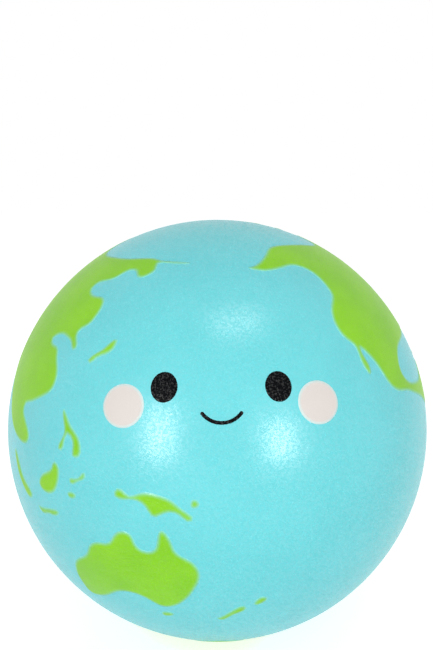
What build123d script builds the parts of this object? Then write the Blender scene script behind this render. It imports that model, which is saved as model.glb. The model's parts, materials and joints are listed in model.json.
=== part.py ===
from build123d import *
from math import cos, radians, sin, sqrt
import os

# A squeezable foam ball moulded as a small globe, with a simple printed face.
# Millimetres. The origin is the middle of the small flat that the ball stands on.
# +Z runs up through the north pole, and the face looks along -Y.

# ---- driving sizes
ball_diameter = 70.0        # over the blue coat
coat_thickness = 0.4        # tough outer coat, sprayed into the mould before the foam
bond_line = 0.1             # between the foam and its coat
relief_height = 0.2         # top of the lands above the sea, only just felt
relief_seat = 0.06          # between the coat and the underside of a land
print_thickness = 0.1       # ink of the face
print_seat = 0.05           # between the coat and the ink
base_flat_diameter = 12.0   # flat at the south pole, trimmed where the foam was poured in
pour_plug_diameter = 5.0    # foam that shows through the coat in the middle of the flat
pour_plug_gap = 0.15        # round the plug
parting_gap = 0.1           # between the two coat halves, at the mould's parting line
shore_facet = 0.7           # length of each straight wall along a shore
fewest_shore_facets = 14    # round the smallest island

# the face, as degrees of longitude and latitude and as millimetres on the surface
face_longitude = 1.0
eye_spread = 13.8           # from the middle of the face
eye_latitude = 22.1
eye_rise = 0.05             # the right one higher than the middle, and the left one lower
eye_width = 3.7
eye_height = 4.2
cheek_spread = 23.6
cheek_latitude = 17.6
cheek_rise = 0.33
cheek_width = 6.2
cheek_height = 6.0
mouth_latitude = 16.6       # of its two ends
mouth_turn = 0.8            # its right end higher
mouth_width = 5.3
mouth_sag = 1.35
mouth_stroke = 0.45

# ---- sizes that follow
ball_radius = ball_diameter / 2
coat_inner_radius = ball_radius - coat_thickness
foam_radius = coat_inner_radius - bond_line
land_inner_radius = ball_radius + relief_seat
land_outer_radius = ball_radius + relief_height
print_inner_radius = ball_radius + print_seat
print_outer_radius = print_inner_radius + print_thickness
# the flat is cut through the southern land, so it sets how high the middle stands
centre_height = sqrt(land_outer_radius ** 2 - (base_flat_diameter / 2) ** 2)

# ---- coastlines: (degrees east of the face, degrees north), in order round the shore
EURASIA = [
    (-28, 57.2), (-20, 56.5), (-11, 56), (-20, 55.9), (-26.4, 55.6), (-25.6, 53.5), (-27.5, 51.2),
    (-31, 50.3), (-33, 51.5), (-35, 52.7), (-37.5, 52.7), (-41.5, 50), (-46, 48.4), (-49.5, 47.3),
    (-50.3, 45.8), (-48.5, 44.2), (-45, 43.4), (-40.6, 43), (-39.2, 41.3), (-39.3, 38), (-41, 35.2),
    (-43.5, 33.5), (-42.8, 31.3), (-41.6, 29.2), (-42.6, 28.6), (-44.3, 30), (-46.5, 31.2),
    (-49.5, 31.9), (-52.7, 31.5), (-54.4, 30.2), (-52.6, 29), (-49.5, 28.3), (-48.2, 26.4),
    (-46.4, 24), (-45.3, 21), (-46, 18.4), (-48.5, 16.6), (-52.5, 14.8), (-55.5, 13.8), (-57.7, 12.8),
    (-57.9, 11.3), (-56.3, 9.5), (-54, 7.3), (-53.2, 5.5), (-54.2, 4), (-57, 3.5), (-61, 4.2),
    (-65, 5.8), (-69, 8.8), (-73, 13), (-77, 17.5), (-82, 21), (-86, 20.5), (-89.5, 17), (-92, 13),
    (-94.2, 9.2), (-96, 8), (-98.4, 10.5), (-101, 16), (-104.5, 20.5), (-110, 23.5), (-117, 25),
    (-123, 27), (-127, 29.5), (-128.5, 28), (-125.5, 25), (-122.5, 22.5), (-126, 17.5), (-132, 13.8),
    (-136, 14.5), (-139, 19), (-142, 24), (-144.5, 29), (-144, 33), (-147, 36), (-153, 36.5),
    (-156.5, 38), (-157, 40), (-159.5, 37.5), (-162.5, 40), (-166.5, 44), (-165, 39.5), (-167, 38.5),
    (-171, 42.5), (-176, 43.5), (-180.5, 41.5), (-183, 38), (-187, 37.3), (-190.5, 38), (-190.5, 42.5),
    (-184, 44), (-183.5, 47), (-185, 48.8), (-180, 49.6), (-175.5, 53), (-174, 57), (-171, 55),
    (-165, 54.5), (-160, 58), (-157.5, 61), (-160, 65), (-164.5, 62), (-167.5, 57), (-171, 58.5),
    (-176.5, 59.5), (-175, 63.5), (-167, 68), (-157, 70.5), (-147, 68.5), (-141, 66), (-133, 68),
    (-120, 69.5), (-108, 70), (-97, 66.5), (-86, 62.5), (-77, 59), (-68, 57.4), (-57, 57), (-46, 56.9),
    (-37, 57.4),
]
AFRICA = [
    (-187, 34.5), (-180, 36), (-170.5, 36.7), (-169.5, 33.5), (-161, 30.5), (-157, 32), (-149, 31),
    (-147, 28), (-144.5, 23), (-142, 17.5), (-138, 12), (-133, 10.5), (-129, 11), (-132, 5),
    (-137.5, -1), (-140.5, -5.5), (-139.5, -12), (-142, -17), (-145, -20.5), (-145.5, -25), (-149, -29.5),
    (-154, -33.5), (-160.5, -34.5), (-163, -30.5), (-165.5, -25), (-168, -17), (-166.5, -10.5),
    (-168, -4.5), (-171, 0), (-171, 4), (-176, 5.5), (-184, 4.8), (-189, 5), (-194, 9.5), (-197, 14.5),
    (-196.5, 21), (-192.5, 28),
]
NORTH_AMERICA = [
    (12.8, 54.3), (16, 55), (20, 57), (24, 59.5), (29, 62.3), (35, 63.3), (45, 63.5), (58, 63.1),
    (70, 62.3), (78, 62.8), (84, 65.5), (90, 68), (93.5, 66.5), (91, 63), (88, 60.5), (88, 57.8),
    (93, 56.3), (97.5, 55), (99.5, 52), (102, 53.5), (102.5, 58), (105, 61.3), (109, 61), (113, 58.5),
    (118, 57), (121.5, 53.5), (122.5, 50.5), (117.5, 49.3), (116, 46.5), (111, 44.5), (106, 42),
    (102.5, 38), (98.5, 34.5), (94.5, 31), (92, 27), (90, 25.2), (88, 27), (85, 29.5), (79, 29.7),
    (73, 28.8), (67, 28), (62.3, 26.8), (59.2, 24.3), (58.1, 21.3), (59.8, 18.8), (64, 17.3),
    (69, 16.8), (74.5, 17.4), (79.5, 20.2), (83, 20.5), (83.2, 17), (84.3, 15.2), (86.3, 13.6), (86.6, 11),
    (87.8, 9.2), (87.6, 8.2), (86.5, 7.2), (82.5, 7.6), (78, 9), (73, 11), (68.5, 13), (64, 14.5), (58, 16.3),
    (52.5, 17.3), (50, 19), (47.5, 23), (44.5, 27.4), (42.4, 29.2), (42.8, 26.5), (43.5, 24), (42.9, 22.3),
    (41.6, 24), (40.9, 27), (40.6, 29.8), (38.5, 31.8), (37, 34), (36.7, 37), (38, 40), (40.5, 42.4),
    (42.2, 44.2), (42.5, 46.5), (42, 49.5), (40.5, 52), (37, 54), (33.5, 54.7), (29, 54.2), (24, 53.4),
    (19, 53), (15.5, 53.5),
]
SOUTH_AMERICA = [
    (89.6, 8.3), (93, 11), (97, 12), (101, 10.6), (106.5, 10), (111, 6.5), (116, 4.5), (118.5, 0.5),
    (124, -2.5), (129, -3.7), (132.5, -6.5), (131.5, -11), (128.8, -15), (128, -20), (125, -23.5),
    (120, -26), (118, -30), (114, -34), (110, -37), (105.5, -40), (102.5, -44.5), (101, -49),
    (101.5, -53.5), (97, -54), (93.8, -50), (94, -43), (95, -36), (96.5, -28), (97, -19.5), (92, -14),
    (87.5, -6.5), (87.5, -1.5), (90, 2), (90.6, 5.5),
]
GREENLAND = [
    (127, 60), (131, 62.5), (136, 66.5), (147, 70), (152, 75), (150, 80.5), (135, 82.5), (114, 81),
    (104, 77.5), (113, 75.5), (119, 71), (121, 66),
]
ANTARCTICA = [
    (2, -59), (9, -60.5), (20, -66), (38, -70), (58, -72), (78, -72), (96, -70), (106, -64), (111, -64),
    (114, -70), (132, -76), (152, -74), (176, -70), (200, -68), (225, -66.5), (250, -67), (275, -66),
    (300, -66), (325, -66.5), (344, -65.5), (354, -61.5),
]
AUSTRALIA = [
    (-42.2, -26.6), (-38.6, -22.8), (-35, -20.5), (-32.6, -17.2), (-30, -16), (-27, -15.6),
    (-24.5, -12.7), (-22, -11.7),
    (-20.4, -12.4), (-19.4, -15), (-17.5, -16.3), (-15.3, -16), (-13.9, -13.2), (-12.8, -10.3),
    (-11, -12.3), (-9.7, -15.8), (-5.7, -18.6), (-4.3, -22), (-5.5, -26), (-8.7, -30.8), (-12, -33.5),
    (-15.6, -34.4), (-19.4, -32.2), (-23, -30.7), (-27.5, -30.9), (-33, -33.8), (-39, -36.3),
    (-43, -36.3), (-43.6, -33), (-43.2, -29),
]
NEW_GUINEA = [
    (-23.7, -2.2), (-22.2, -1.3), (-20.3, -2.7), (-17.5, -1.9), (-13.5, -1.9), (-10.2, -3), (-7.4, -5.2),
    (-5.4, -7.3), (-6.2, -7.7), (-8.4, -6.3), (-11.5, -5.9), (-14.5, -7.1), (-16.4, -4.6), (-20, -3.5),
    (-22.4, -3.7),
]
NEW_BRITAIN = [(-5.8, -3.5), (-4.9, -2.6), (-4, -3.5), (-4.9, -4.4)]
BORNEO = [
    (-41.5, 1.9), (-40.2, 1), (-40, -0.9), (-40.6, -3), (-42.3, -5.5), (-44.4, -6.4), (-46.8, -6.2),
    (-48.3, -4.9), (-47.5, -3), (-44.4, -1), (-42.6, 0.5),
]
SUMATRA = [
    (-62, 0.8), (-60.2, -0.6), (-58.2, -4), (-55.8, -6.4), (-53.1, -9.2), (-54.3, -10.1), (-57.6, -8.8),
    (-60.3, -5.8), (-61.8, -2.5),
]
JAVA = [
    (-50.6, -11.2), (-48.5, -11.1), (-45, -10.6), (-41.6, -10.7), (-42.5, -11.6), (-46.5, -12.1),
    (-50, -12.1),
]
SULAWESI = [
    (-31.8, 0.9), (-31.7, -0.1), (-33.6, -1.2), (-36.3, -2.1), (-36.6, -1.5), (-34.3, -0.8),
    (-32.8, 0.4),
]
FLORES = [(-37.4, -5), (-35.9, -4.4), (-34.8, -4.9), (-35.9, -5.8)]
PHILIPPINES = [
    (-39.9, 14.6), (-38.3, 13), (-36.6, 11), (-34.1, 8.9), (-33.2, 7), (-33.5, 4.6), (-35.4, 4.2),
    (-35.6, 6.4), (-36.5, 8.7), (-37.5, 9.2), (-38.4, 7.4), (-39.6, 5), (-40.3, 5.2), (-39.3, 7.8),
    (-38.7, 9.7), (-39.5, 12),
]
JAPAN = [
    (-35.8, 26.7), (-34.4, 28.2), (-31.8, 29.9), (-30, 31.8), (-28.4, 32.6), (-28.3, 31.2), (-29, 29.6),
    (-31.2, 28.4), (-33.5, 27.2), (-35, 26.1),
]
TASMANIA = [(-16.8, -38), (-15, -36.8), (-13.2, -37.4), (-15, -38.7)]
NEW_ZEALAND_SOUTH = [
    (0, -38.4), (2.3, -36.8), (5, -34.3), (7.5, -33.2), (8.2, -34.2), (5.7, -36.3), (3.2, -38.3),
    (0.8, -39.2),
]
NEW_ZEALAND_NORTH = [(10.3, -32.7), (10.8, -31.1), (12.4, -30.1), (13.6, -30.8), (12.5, -32.4), (11, -33)]
MADAGASCAR = [(-131, -12.5), (-129.8, -16), (-133, -24.5), (-135.3, -24.5), (-136.2, -21), (-135, -16.5)]
SRI_LANKA = [(-91.5, 9), (-90.2, 7.5), (-90.8, 5.8), (-92, 6.5)]
GREAT_BRITAIN = [
    (-186, 51), (-181.8, 51.6), (-181.6, 53.8), (-183.2, 56), (-184, 58.8), (-187, 57.8), (-185.2, 54.5),
]
IRELAND = [(-192.5, 52.2), (-189, 52.3), (-188.6, 54.6), (-190.5, 55.3), (-192.5, 54)]
ICELAND = [(-204, 65), (-200, 63.5), (-194.5, 64.8), (-196, 66.5), (-202, 66.5)]
CUBA = [(82.5, 22.2), (86, 23.3), (92, 21.2), (93.5, 20), (90.5, 20.2), (86.5, 21.9)]
HISPANIOLA = [(96, 19.6), (99, 19.9), (101.5, 18.8), (99.5, 17.7), (96.5, 18.2)]
BAFFIN_ISLAND = [
    (112, 65.5), (116, 63.8), (119, 66), (112, 70.5), (101, 74), (94, 73.5), (100, 71), (106, 69),
]

LANDS = {
    "land_eurasia": EURASIA,
    "land_africa": AFRICA,
    "land_north_america": NORTH_AMERICA,
    "land_south_america": SOUTH_AMERICA,
    "land_greenland": GREENLAND,
    "land_australia": AUSTRALIA,
    "island_new_guinea": NEW_GUINEA,
    "island_new_britain": NEW_BRITAIN,
    "island_borneo": BORNEO,
    "island_sumatra": SUMATRA,
    "island_java": JAVA,
    "island_sulawesi": SULAWESI,
    "island_flores": FLORES,
    "island_philippines": PHILIPPINES,
    "island_japan": JAPAN,
    "island_tasmania": TASMANIA,
    "island_new_zealand_south": NEW_ZEALAND_SOUTH,
    "island_new_zealand_north": NEW_ZEALAND_NORTH,
    "island_madagascar": MADAGASCAR,
    "island_sri_lanka": SRI_LANKA,
    "island_great_britain": GREAT_BRITAIN,
    "island_ireland": IRELAND,
    "island_iceland": ICELAND,
    "island_cuba": CUBA,
    "island_hispaniola": HISPANIOLA,
    "island_baffin": BAFFIN_ISLAND,
}


def direction(longitude, latitude):
    """The unit vector from the ball's middle to a place on the globe."""
    east, north = radians(longitude), radians(latitude)
    return Vector(cos(north) * sin(east), -cos(north) * cos(east), sin(north))


def hollow_ball(inner_radius, outer_radius):
    """A shell with its seam on the meridian behind the date line, clear of the lands."""
    seam_turn = -92
    shell = Sphere(outer_radius) - Sphere(inner_radius)
    return Rotation(0, 0, seam_turn) * shell


def shore(coast):
    """Evenly spaced places along the smooth closed curve through a coastline's places."""
    curve = Spline(*[direction(*place) * ball_radius for place in coast], periodic=True)
    facets = max(fewest_shore_facets, round(curve.length / shore_facet))
    return [curve.position_at(n / facets).normalized() for n in range(facets)]


def land(coast):
    """The piece of a thin shell inside a coastline. The shore's walls point at the ball's middle."""
    places = shore(coast)
    bottom = land_inner_radius - relief_height
    top = land_outer_radius + relief_height
    walls = []
    for here, there in zip(places, places[1:] + places[:1]):
        corners = [here * bottom, there * bottom, there * top, here * top]
        walls.append(Face(Wire.make_polygon(corners, close=True)))
    pieces = hollow_ball(land_inner_radius, land_outer_radius).split(Shell(walls), keep=Keep.ALL)
    return min(pieces, key=lambda piece: piece.volume)


def touching_plane(longitude, latitude, turn=0):
    """The plane that touches the ball at a place, with X to the east and Y to the north."""
    out = direction(longitude, latitude)
    east = Vector(0, 0, 1).cross(out)
    plane = Plane(origin=out * ball_radius, x_dir=east, z_dir=out)
    return plane.rotated((0, 0, turn))


def printed(sketch, plane):
    """A flat figure laid on the ball as a thin coat of ink."""
    depth = ball_radius / 2
    prism = extrude(plane * sketch, amount=depth, both=True)
    return prism & (Sphere(print_outer_radius) - Sphere(print_inner_radius))


def eye(side):
    """side is -1 for the left one and 1 for the right one."""
    plane = touching_plane(face_longitude + side * eye_spread, eye_latitude + side * eye_rise)
    return printed(Ellipse(eye_width / 2, eye_height / 2), plane)


def cheek(side):
    plane = touching_plane(face_longitude + side * cheek_spread, cheek_latitude + side * cheek_rise)
    return printed(Ellipse(cheek_width / 2, cheek_height / 2), plane)


def mouth():
    """A smile: an arc of even stroke with round ends."""
    half = mouth_width / 2
    line = ThreePointArc((-half, 0), (0, -mouth_sag), (half, 0))
    plane = touching_plane(face_longitude, mouth_latitude, turn=mouth_turn)
    return printed(SlotArc(arc=line, height=mouth_stroke), plane)


def coat_half(side):
    """Half of the coat, as one side of the mould was sprayed. side is 1 above and -1 below."""
    shell = hollow_ball(coat_inner_radius, ball_radius)
    size = 2 * ball_diameter
    box = Pos(0, 0, side * (size + parting_gap) / 2) * Box(size, size, size)
    return shell & box


def above_the_table(shape):
    """What is left of a shape above the flat that the ball stands on."""
    size = 2 * ball_diameter
    return shape - Pos(0, 0, -centre_height - size / 2) * Box(size, size, size)


def pour_plug(diameter):
    """The round column in the middle of the flat, from inside the ball down to the table."""
    top = -foam_radius / 2
    length = centre_height + top
    return Pos(0, 0, top - length / 2) * Cylinder(diameter / 2, length)


plug_hole = pour_plug(pour_plug_diameter + 2 * pour_plug_gap)

nodes = {
    "foam_core": Sphere(foam_radius) + pour_plug(pour_plug_diameter),
    "coat_upper": coat_half(1),
    "coat_lower": above_the_table(coat_half(-1) - plug_hole),
    "land_antarctica": above_the_table(land(ANTARCTICA)) - plug_hole,
    "eye_left": eye(-1),
    "eye_right": eye(1),
    "cheek_left": cheek(-1),
    "cheek_right": cheek(1),
    "mouth": mouth(),
}
for name, coast in LANDS.items():
    nodes[name] = land(coast)

os.makedirs("parts", exist_ok=True)
for name, shape in nodes.items():
    placed = Pos(0, 0, centre_height) * shape
    placed.label = name
    export_step(placed, f"parts/{name}.step")
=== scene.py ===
import json
from math import asin, cos, pi, radians, sin, sqrt

import bmesh
import bpy
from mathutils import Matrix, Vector
from mathutils.bvhtree import BVHTree


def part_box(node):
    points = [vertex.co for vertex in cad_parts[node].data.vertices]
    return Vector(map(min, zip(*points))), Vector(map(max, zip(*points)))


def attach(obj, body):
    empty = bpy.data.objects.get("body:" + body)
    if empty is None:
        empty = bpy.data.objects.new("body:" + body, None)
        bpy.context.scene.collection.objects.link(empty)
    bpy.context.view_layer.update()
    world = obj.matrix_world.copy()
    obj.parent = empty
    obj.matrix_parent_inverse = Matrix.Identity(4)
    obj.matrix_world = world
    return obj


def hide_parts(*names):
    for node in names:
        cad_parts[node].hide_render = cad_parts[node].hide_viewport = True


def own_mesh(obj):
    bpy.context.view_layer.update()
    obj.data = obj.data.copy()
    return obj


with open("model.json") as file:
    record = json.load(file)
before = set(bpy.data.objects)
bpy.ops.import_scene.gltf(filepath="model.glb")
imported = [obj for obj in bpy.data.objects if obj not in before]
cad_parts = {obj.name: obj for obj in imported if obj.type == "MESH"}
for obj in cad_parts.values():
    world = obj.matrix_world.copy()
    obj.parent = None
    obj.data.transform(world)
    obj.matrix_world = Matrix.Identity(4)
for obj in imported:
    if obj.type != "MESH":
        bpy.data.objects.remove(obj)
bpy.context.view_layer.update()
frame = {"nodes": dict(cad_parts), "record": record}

# ---- The foam core
# One ball of soft polyurethane foam, poured into a round mould through its bottom. The neck of the
# pour is trimmed off level with the table, so its open cells show in the middle of the flat.
MM = 0.001
foam_low, foam_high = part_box("foam_core")
foam_radius = (foam_high.x - foam_low.x) / 2
middle = Vector((0, 0, foam_high.z - foam_radius))
plug_radius = 2.5 * MM
cell_size = 0.35 * MM
pit_depth = 0.08 * MM
foam_fineness = 7

ball_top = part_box("coat_upper")[1].z


class Wire:
    """A shader socket that can be added, multiplied and compared like a number."""

    def __init__(self, tree, socket=None):
        self.tree = tree
        self.socket = socket

    def node(self, kind, settings=None, sockets=None, out=0):
        """Adds a node: its settings first, then a value or a wire for each socket."""
        made = self.tree.nodes.new(kind)
        for name, value in (settings or {}).items():
            setattr(made, name, value)
        for name, value in (sockets or {}).items():
            if isinstance(value, Wire):
                self.tree.links.new(value.socket, made.inputs[name])
            else:
                made.inputs[name].default_value = value
        return Wire(self.tree, made.outputs[out])

    def calculate(self, operation, first, second=0.0):
        return self.node("ShaderNodeMath", {"operation": operation}, {0: first, 1: second})

    def __add__(self, other):
        return self.calculate("ADD", self, other)

    def __radd__(self, other):
        return self.calculate("ADD", other, self)

    def __sub__(self, other):
        return self.calculate("SUBTRACT", self, other)

    def __rsub__(self, other):
        return self.calculate("SUBTRACT", other, self)

    def __mul__(self, other):
        return self.calculate("MULTIPLY", self, other)

    def __rmul__(self, other):
        return self.calculate("MULTIPLY", other, self)

    def step(self, start, end):
        """0 before start, 1 after end, and smooth between them."""
        limits = {"Value": self, "From Min": start, "From Max": end}
        return self.node("ShaderNodeMapRange", {"interpolation_type": "SMOOTHSTEP"}, limits)

    def mix(self, below, above):
        """below where this is 0, and above where it is 1. Both are colours."""
        settings = {"data_type": "RGBA", "clamp_factor": True}
        return self.node("ShaderNodeMix", settings, {0: self, 6: below, 7: above}, out=2)

    def noise(self, size, detail=2.0):
        """Noise with grains of about that size in metres, in the piece's own coordinates."""
        place = self.node("ShaderNodeTexCoord", out="Object")
        sockets = {"Vector": place, "Scale": 1 / size, "Detail": detail}
        return self.node("ShaderNodeTexNoise", None, sockets)

    def bump(self, strength, distance):
        """A normal tilted by this wire as a height, up to that distance in metres."""
        sockets = {"Strength": strength, "Distance": distance, "Height": self}
        return self.node("ShaderNodeBump", None, sockets)


def colour(red, green, blue):
    """A paint colour given as it is seen, 0 to 255."""
    shares = [channel / 255 for channel in (red, green, blue)]
    return (*[((share + 0.055) / 1.055) ** 2.4 for share in shares], 1.0)


def material(name, surface, **constants):
    """A finish. surface takes the first wire and returns what goes to each socket that varies."""
    made = bpy.data.materials.new(name)
    made.use_nodes = True
    tree = made.node_tree
    shader = tree.nodes["Principled BSDF"]
    for socket, value in constants.items():
        shader.inputs[socket.replace("_", " ").title().replace("Ior", "IOR")].default_value = value
    for socket, wire in surface(Wire(tree)).items():
        tree.links.new(wire.socket, shader.inputs[socket])
    return made


def globe(radius, fineness):
    """An even ball of small triangles, with no poles."""
    shape = bmesh.new()
    bmesh.ops.create_icosphere(shape, subdivisions=fineness, radius=radius)
    return shape


def finished(name, shape, look, replaced, body):
    """Sets the mesh at the ball's middle as a smooth piece with its finish, in place of the parts it
    replaces, on its body.
    """
    bmesh.ops.translate(shape, verts=shape.verts, vec=middle)
    mesh = bpy.data.meshes.new(name)
    shape.to_mesh(mesh)
    shape.free()
    mesh.shade_smooth()
    mesh.materials.append(look)
    piece = bpy.data.objects.new(name, mesh)
    bpy.context.scene.collection.objects.link(piece)
    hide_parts(*replaced)
    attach(piece, body)
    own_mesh(piece)
    return piece


def open_cells(start):
    """Cut foam: small pits, with painted shade inside them."""
    cells = start.node("ShaderNodeTexVoronoi", None, {"Scale": 1 / cell_size}, out="Distance")
    pits = cells.step(0.15, 0.55)
    # The darker colour at the bottom of each pit is painted shade, not a colour of the foam.
    painted_pit_shade = pits.mix(colour(196, 186, 160), colour(238, 232, 214))
    return {"Base Color": painted_pit_shade, "Normal": pits.bump(0.8, pit_depth)}


foam_look = material("foam", open_cells, roughness=0.9)
foam = globe(foam_radius, foam_fineness)
for spot in foam.verts:
    across = sqrt(spot.co.x ** 2 + spot.co.y ** 2)
    if spot.co.z < 0 and across < plug_radius:
        spot.co *= middle.z / -spot.co.z
foam_piece = finished("foam_core_ball", foam, foam_look, ["foam_core"], "lower")

# ---- The blue coat
# The tough skin of the ball, sprayed into the mould before the foam and one with it afterwards.
# Soft satin polyurethane paint in sky blue, with a fine speckled grain that the mould leaves.
ball_radius = ball_top - middle.z
plug_hole_radius = 2.65 * MM
coat_thickness = 0.4 * MM
table_gap = 0.02 * MM
fine_grain = 0.3 * MM
coarse_grain = 1.3 * MM
grain_depth = 0.05 * MM
speckle_size = 0.33 * MM
rubbed_size = 0.5 * MM
spray_patch = 9 * MM
coat_fineness = 7
sea_light = colour(109, 222, 229)
sea_deep = colour(105, 219, 226)
paint_gloss = {"ior": 1.5, "specular_ior_level": 0.15, "coat_ior": 2.0, "coat_roughness": 0.26}


def grain(start):
    """The fine pebbling that the mould leaves all over the skin, paint and print alike."""
    return start.noise(fine_grain, 1.0) + 0.5 * start.noise(coarse_grain, 1.0)


def speckle(start):
    """The gloss: full on the grain's tops and thin in its pits, so a highlight looks sanded."""
    return 0.28 + 0.36 * start.noise(speckle_size, 1.0).step(0.42, 0.58)


def sea(start):
    """The blue of the skin, a little uneven where the spray was thinner."""
    return start.noise(spray_patch, 2.0).step(0.35, 0.65).mix(sea_deep, sea_light)


def blue_skin(start):
    return {
        "Base Color": sea(start),
        "Roughness": 0.44 + 0.1 * start.noise(rubbed_size),
        "Coat Weight": speckle(start),
        "Normal": grain(start).bump(0.64, grain_depth),
    }


coat_look = material("blue_coat", blue_skin, **paint_gloss)
coat = globe(ball_radius, coat_fineness)
inside_hole = [
    spot for spot in coat.verts
    if spot.co.z < 0 and sqrt(spot.co.x ** 2 + spot.co.y ** 2) < plug_hole_radius
]
bmesh.ops.delete(coat, geom=inside_hole, context="VERTS")
rim = [edge for edge in coat.edges if edge.is_boundary]
turned_in = bmesh.ops.extrude_edge_only(coat, edges=rim)["geom"]
for spot in [part for part in turned_in if isinstance(part, bmesh.types.BMVert)]:
    spot.co -= spot.co.normalized() * coat_thickness
for spot in coat.verts:
    spot.co.z = max(spot.co.z, table_gap - middle.z)  # the flat underneath
both_halves = ["coat_upper", "coat_lower"]
coat_piece = finished("blue_coat_ball", coat, coat_look, both_halves, "lower")

# ---- The lands
# Each land is moulded a little proud of the sea, with soft shoulders, and sprayed lime green through
# a mask. The spray fades out down the slope, so every shore has a soft edge, with a pale rim of painted
# highlight just outside it.
land_height = 0.08 * MM
foot_width = 0.35 * MM
shoulder_width = 0.4 * MM
seat_depth = 0.03 * MM
buried_depth = 0.2 * MM
wall_height = 0.13 * MM
rough_margin = 1.6 * MM
reach_margin = 2 * MM
weld = 0.001 * MM
ragged_size = 0.6 * MM
green_patch = 6 * MM
land_fineness = 7
small_land = 60 * MM ** 2
land_green = colour(146, 220, 14)
land_olive = colour(138, 213, 16)
painted_rim_highlight = colour(176, 240, 214)


def painted_land(start):
    """Green inside the shore, a pale rim of painted highlight just outside it and the blue of the skin
    beyond.
    """
    shore = start.node("ShaderNodeAttribute", {"attribute_name": "shore"}, out="Fac")
    ragged = shore + 0.12 * (start.noise(ragged_size, 2.0) - 0.5)
    green = start.noise(green_patch, 2.0).step(0.3, 0.7).mix(land_olive, land_green)
    # A pale rim of painted highlight, lighter than both paints, runs round every shore.
    painted_rim_share = 0.3 * ragged.step(-0.35, -0.05)
    under = painted_rim_share.mix(sea(start), painted_rim_highlight)
    cover = ragged.step(-0.2, 0.34) * (0.8 + 0.2 * shore.step(0.2, 0.6))
    return {
        "Base Color": cover.mix(under, green),
        "Roughness": 0.44 + 0.1 * start.noise(rubbed_size),
        "Coat Weight": 0.5 * speckle(start),
        "Normal": grain(start).bump(0.64, grain_depth),
    }


class Shore:
    """The wall round one land: how far inside it a place on the ball lies."""

    def __init__(self, node):
        walled = bmesh.new()
        walled.from_mesh(frame["nodes"][node].data)
        bmesh.ops.remove_doubles(walled, verts=walled.verts, dist=weld)
        bmesh.ops.translate(walled, verts=walled.verts, vec=-middle)
        self.whole = BVHTree.FromBMesh(walled)
        self.wall_radius = ball_radius + wall_height
        lids = [face for face in walled.faces if self.faces_out(face)]
        bmesh.ops.delete(walled, geom=lids, context="FACES_KEEP_BOUNDARY")
        self.walls = BVHTree.FromBMesh(walled)
        places = [spot.co.normalized() for spot in walled.verts]
        self.centre = sum(places, Vector()).normalized()
        self.reach = max(self.centre.angle(place) for place in places)
        walled.free()

    @staticmethod
    def faces_out(face):
        """Whether a face is part of the land's top or underside, and not of its wall."""
        return abs(face.normal.dot(face.calc_center_median().normalized())) > 0.5

    def inward(self, place):
        """Metres inside the shore along the surface, negative outside."""
        out = place.normalized()
        distance = self.walls.find_nearest(out * self.wall_radius)[3]
        inside = self.whole.ray_cast(Vector(), out)[0] is not None
        return distance if inside else -distance


def patch_within(shore):
    """The part of the ball's surface that one land covers, with its foot and with finer triangles."""
    patch = globe(ball_radius, land_fineness)
    margin = shore.reach + reach_margin / ball_radius
    far = [spot for spot in patch.verts if shore.centre.angle(spot.co) > margin]
    bmesh.ops.delete(patch, geom=far, context="VERTS")
    for width in (rough_margin, foot_width):
        outside = [spot for spot in patch.verts if shore.inward(spot.co) < -width]
        bmesh.ops.delete(patch, geom=outside, context="VERTS")
        if width > foot_width:
            bmesh.ops.subdivide_edges(patch, edges=patch.edges, cuts=1, use_grid_fill=True)
            area = sum(face.calc_area() for face in patch.faces)
            if area < small_land:
                bmesh.ops.subdivide_edges(patch, edges=patch.edges, cuts=1, use_grid_fill=True)
    return patch


def finished_land(node, body):
    """Raises the patch of one land with soft shoulders and closes it below the skin."""
    shore = Shore(node)
    patch = patch_within(shore)
    level = patch.verts.layers.float.new("shore")
    skin = bmesh.ops.extrude_face_region(patch, geom=patch.faces)["geom"]
    skin = {part for part in skin if isinstance(part, bmesh.types.BMVert)}
    for spot in patch.verts:
        inward = shore.inward(spot.co)
        spot[level] = inward / MM
        climb = min(max((inward + foot_width) / (foot_width + shoulder_width), 0), 1)
        height = (land_height + seat_depth) * climb * climb * (3 - 2 * climb) - seat_depth
        out = spot.co.normalized()
        spot.co = out * (ball_radius + (height if spot in skin else -buried_depth))
        spot.co.z = max(spot.co.z, -middle.z)
    return finished(node + "_relief", patch, land_look, [node], body)


land_look = material("green_paint", painted_land, **paint_gloss)
for body, members in frame["record"]["behaviour"]["bodies"].items():
    for node in members:
        if node.startswith(("land_", "island_")):
            finished_land(node, body)

# ---- The printed face
# Two oval eyes, two pale round cheeks and a short smile, pad-printed on the finished ball in
# thin ink that follows the grain of the skin.
ink_height = 0.06 * MM
eye_width = 3.72 * MM
eye_height = 4.2 * MM
cheek_width = 6.2 * MM
cheek_height = 6.0 * MM
crack_size = 0.25 * MM
crack_depth = 0.1 * MM


def on_the_ball(shape, node):
    """Lays a flat shape, drawn round the origin, on the ball where the printed node lies."""
    low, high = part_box(node)
    out = ((low + high) / 2 - middle).normalized()
    east = Vector((0, 0, 1)).cross(out).normalized()
    north = out.cross(east)
    for spot in shape.verts:
        flat = out + (east * spot.co.x + north * spot.co.y) / ball_radius
        spot.co = flat.normalized() * (ball_radius + spot.co.z)


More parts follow.
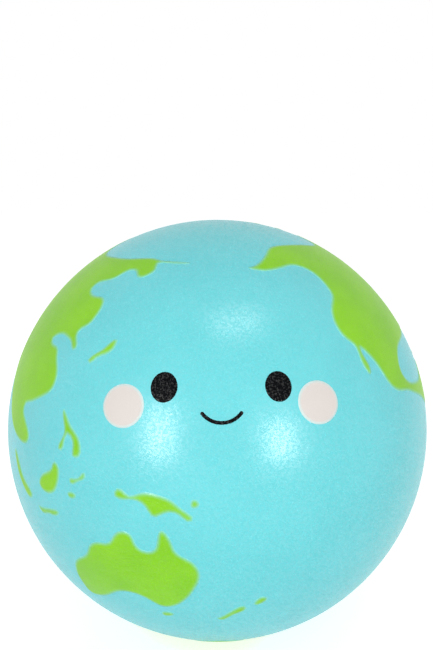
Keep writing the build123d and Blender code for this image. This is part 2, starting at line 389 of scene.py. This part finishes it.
def disc(width, height):
    """A round or oval film of ink with a soft edge."""
    shape = bmesh.new()
    rings = 12
    # From the middle out, then rounded over and sunk under the skin. Heights are shares of the ink's.
    profile = [Vector((step / rings, 0, 1)) for step in range(rings)]
    profile += [Vector((1.0, 0, 0.5)), Vector((1.02, 0, -0.6)), Vector((0, 0, -0.6))]
    spots = [shape.verts.new(place) for place in profile]
    for here, there in zip(spots, spots[1:]):
        shape.edges.new((here, there))
    bmesh.ops.spin(
        shape, geom=shape.verts[:] + shape.edges[:], cent=(0, 0, 0), axis=(0, 0, 1),
        angle=2 * pi, steps=72, use_merge=True,
    )
    bmesh.ops.remove_doubles(shape, verts=shape.verts, dist=0.0001)
    bmesh.ops.recalc_face_normals(shape, faces=shape.faces)
    bmesh.ops.scale(shape, verts=shape.verts, vec=(width / 2, height / 2, ink_height))
    return shape


def black_ink(start):
    """Dull black ink with glossy specks where it lies on the tops of the grain."""
    cracks = start.noise(crack_size, 2.0)
    return {
        "Base Color": cracks.step(0.3, 0.7).mix(colour(3, 5, 8), colour(10, 11, 14)),
        "Roughness": 0.12 + 0.1 * start.noise(fine_grain),
        "Coat Weight": 0.8 * cracks.step(0.5, 0.62),
        "Normal": cracks.bump(1.0, crack_depth),
    }


def pale_ink(start):
    """Pinkish white ink, a little bluer at its rim."""
    edge = start.node("ShaderNodeAttribute", {"attribute_name": "rim"}, out="Fac")
    return {
        "Base Color": edge.step(0.86, 0.97).mix(colour(227, 219, 214), colour(217, 235, 232)),
        "Roughness": 0.45 + 0.1 * start.noise(rubbed_size),
        "Normal": grain(start).bump(0.35, 0.6 * grain_depth),
    }


black_look = material(
    "black_print", black_ink, ior=1.5, specular_ior_level=0.04, coat_ior=1.5, coat_roughness=0.2,
)
pale_look = material("pale_print", pale_ink, ior=1.5)
for node in ("eye_left", "eye_right"):
    eye = disc(eye_width, eye_height)
    on_the_ball(eye, node)
    finished(node + "_print", eye, black_look, [node], "upper")
for node in ("cheek_left", "cheek_right"):
    cheek = disc(cheek_width, cheek_height)
    rim_level = cheek.verts.layers.float.new("rim")
    for spot in cheek.verts:
        spot[rim_level] = 2 * sqrt((spot.co.x / cheek_width) ** 2 + (spot.co.y / cheek_height) ** 2)
    on_the_ball(cheek, node)
    finished(node + "_print", cheek, pale_look, [node], "upper")

mouth_width = 5.25 * MM
mouth_sag = 1.28 * MM
mouth_stroke = 0.5 * MM
mouth_tilt = radians(0.8)
smile_radius = (mouth_width ** 2 / 4 + mouth_sag ** 2) / (2 * mouth_sag)
smile_half = smile_radius * asin(mouth_width / 2 / smile_radius)
smile_steps = 24
# A dot is cut in two, pulled apart into a straight bar, cut across into short lengths and then bent.
smile = disc(mouth_stroke, mouth_stroke)
whole = smile.verts[:] + smile.edges[:] + smile.faces[:]
bmesh.ops.bisect_plane(smile, geom=whole, plane_co=(0, 0, 0), plane_no=(1, 0, 0), dist=weld)
for spot in smile.verts:
    if abs(spot.co.x) > weld:
        spot.co.x += smile_half if spot.co.x > 0 else -smile_half
for step in range(1, 2 * smile_steps):
    cut = Vector((smile_half * (step / smile_steps - 1), 0, 0))
    whole = smile.verts[:] + smile.edges[:] + smile.faces[:]
    bmesh.ops.bisect_plane(smile, geom=whole, plane_co=cut, plane_no=(1, 0, 0), dist=weld)
for spot in smile.verts:
    bend = spot.co.x / smile_radius + mouth_tilt
    reach = smile_radius - spot.co.y
    spot.co.x = reach * sin(bend)
    spot.co.y = smile_radius - mouth_sag / 2 - reach * cos(bend)
on_the_ball(smile, "mouth")
finished("mouth_print", smile, black_look, ["mouth"], "upper")

# ---- The stage
# A white floor under a white sky, and three soft lamps: two low ones in front, to the left and the
# right of the face, and one high up.
floor_half_width = 6.0
floor_white = (0.8, 0.8, 0.8, 1)
floor_glow = 0.7
floor_mesh = bmesh.new()
bmesh.ops.create_grid(floor_mesh, x_segments=1, y_segments=1, size=floor_half_width)
floor_data = bpy.data.meshes.new("floor")
floor_mesh.to_mesh(floor_data)
floor_mesh.free()
floor = bpy.data.objects.new("floor", floor_data)
bpy.context.scene.collection.objects.link(floor)


def white_backdrop(start):
    """1 for the rays that show the backdrop, whether straight, in a reflection or through glass."""
    straight = start.node("ShaderNodeLightPath", out="Is Camera Ray")
    by_mirror = start.node("ShaderNodeLightPath", out="Is Glossy Ray")
    by_glass = start.node("ShaderNodeLightPath", out="Is Transmission Ray")
    return start.calculate("MINIMUM", straight + by_mirror + by_glass, 1.0)


floor_look = bpy.data.materials.new("floor")
floor_look.use_nodes = True
tree = floor_look.node_tree
tree.nodes.remove(tree.nodes["Principled BSDF"])
start = Wire(tree)
lit = start.node("ShaderNodeBsdfDiffuse", None, {"Color": floor_white})
glow = start.node("ShaderNodeEmission", None, {"Strength": white_backdrop(start) * floor_glow})
both = start.node("ShaderNodeAddShader", None, {0: lit, 1: glow})
tree.links.new(both.socket, tree.nodes["Material Output"].inputs["Surface"])
floor_data.materials.append(floor_look)

world = bpy.data.worlds.new("studio")
world.use_nodes = True
bpy.context.scene.world = world
tree = world.node_tree
start = Wire(tree)
height = start.node("ShaderNodeSeparateXYZ", None, {0: start.node("ShaderNodeTexCoord")}, out=2)
# The light that reaches matt paint is weaker from overhead. The backdrop itself stays white.
dome = 0.88 - 0.55 * height.step(0.0, 0.8)
strength = dome + white_backdrop(start) * (1 - dome)
tree.links.new(strength.socket, tree.nodes["Background"].inputs["Strength"])
tree.nodes["Background"].inputs["Color"].default_value = (1, 1, 1, 1)


def soft_box(name, azimuth, elevation, distance, width, height, power):
    """A soft lamp that looks at the middle of the ball. Azimuth 0 is in front."""
    lamp = bpy.data.lights.new(name, "AREA")
    lamp.shape = "RECTANGLE"
    lamp.size = width
    lamp.size_y = height
    lamp.energy = power
    east, up = radians(azimuth), radians(elevation)
    away = Vector((cos(up) * sin(east), -cos(up) * cos(east), sin(up)))
    held = bpy.data.objects.new(name, lamp)
    held.location = middle + away * distance
    held.rotation_euler = away.to_track_quat("Z", "Y").to_euler()
    bpy.context.scene.collection.objects.link(held)


soft_box("lamp_left", -28.6, 8.5, 0.6, 0.13, 0.25, 0.97)
soft_box("lamp_right", 31, 5.2, 0.6, 0.135, 0.18, 0.78)
soft_box("lamp_top", 22, 66, 0.8, 0.3, 0.2, 0.6)

# ---- The camera
# Straight in front of the face and above it. It looks over the middle of the ball, so the ball
# stands low in the picture.
camera_distance = 4.452 * ball_radius
camera_elevation = radians(14)
camera_pitch = radians(-7.671)
camera_yaw = radians(0.05)
lens = bpy.data.cameras.new("camera")
lens.lens = 50
lens.sensor_width = 36
lens.clip_start = 0.01
camera = bpy.data.objects.new("camera", lens)
camera.location = middle + Vector((0, -cos(camera_elevation), sin(camera_elevation))) * camera_distance
camera.rotation_euler = (pi / 2 + camera_pitch, 0, camera_yaw)
bpy.context.scene.collection.objects.link(camera)
bpy.context.scene.camera = camera
bpy.context.scene.view_settings.view_transform = "Standard"
